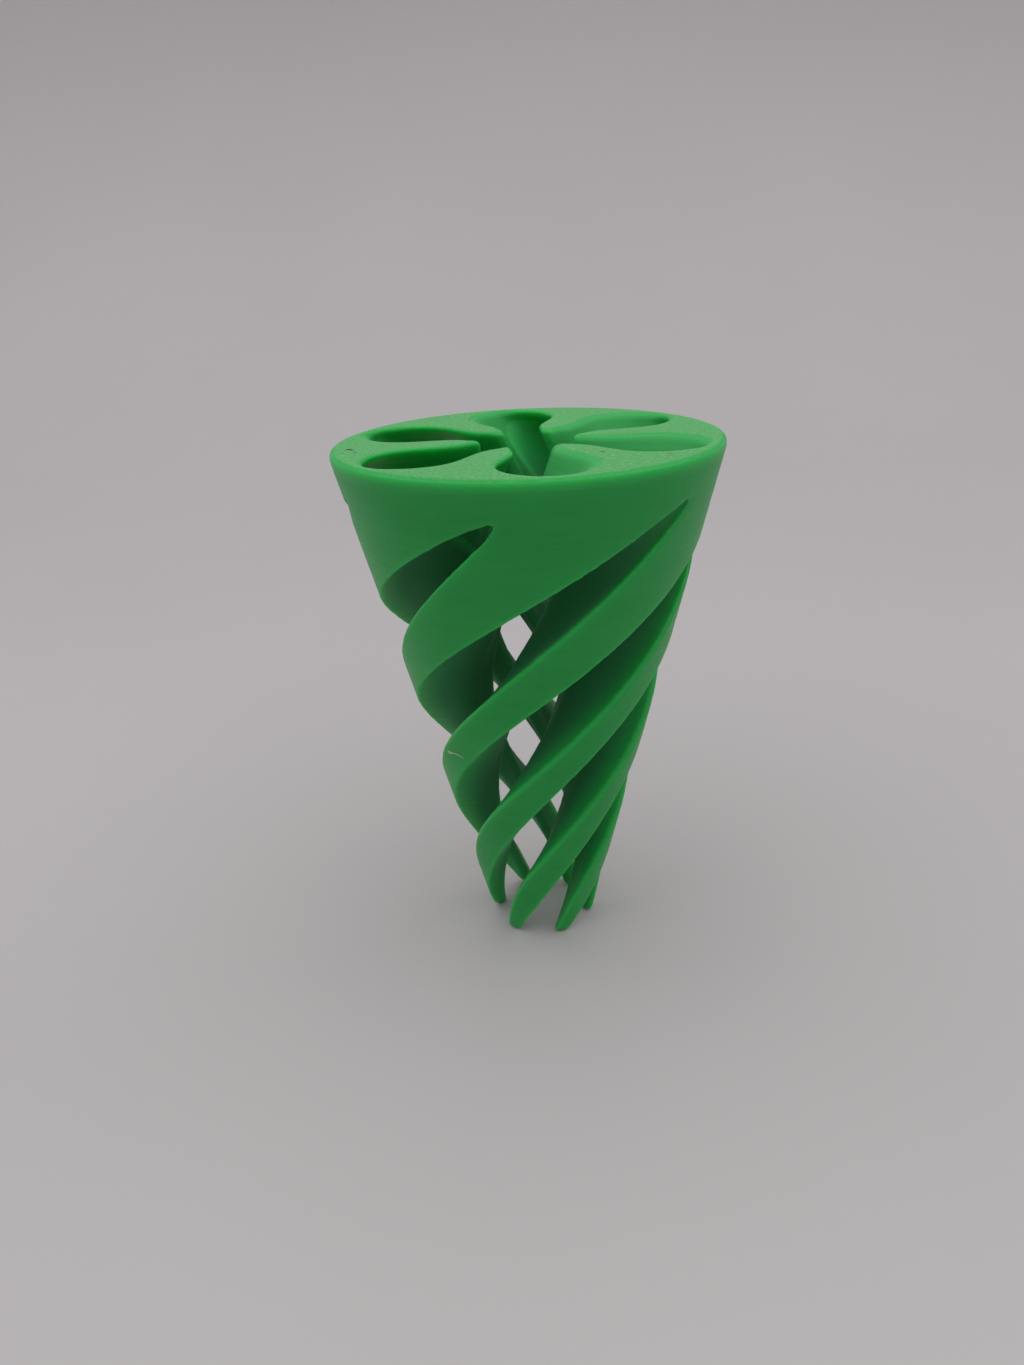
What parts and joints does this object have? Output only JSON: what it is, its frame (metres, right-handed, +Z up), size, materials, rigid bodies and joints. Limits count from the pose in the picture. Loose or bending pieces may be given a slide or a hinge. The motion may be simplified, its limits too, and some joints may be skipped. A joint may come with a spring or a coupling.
{
  "type": "wind turbine rotor",
  "caption": "Conical vertical-axis wind rotor with helical blades twisting down from a slotted round crown to open tips around a hollow centre.",
  "frame": {"origin": "on the rotor axis, in the plane of the blades' lower tips", "axes": "+Z up along the rotor axis towards the crown; +X and +Y have no special meaning on a rotor"},
  "size_m": [0.0694, 0.0694, 0.1],
  "materials": {
    "green_plastic": "satin printed plastic with fine layer lines",
    "green_plastic_top": "satin printed plastic, matte pebbled top face"
  },
  "bodies": {
    "root": {"crown": "green_plastic_top", "blade_1": "green_plastic", "blade_2": "green_plastic", "blade_3": "green_plastic", "blade_4": "green_plastic", "blade_5": "green_plastic", "blade_6": "green_plastic"}
  },
  "joints": []
}
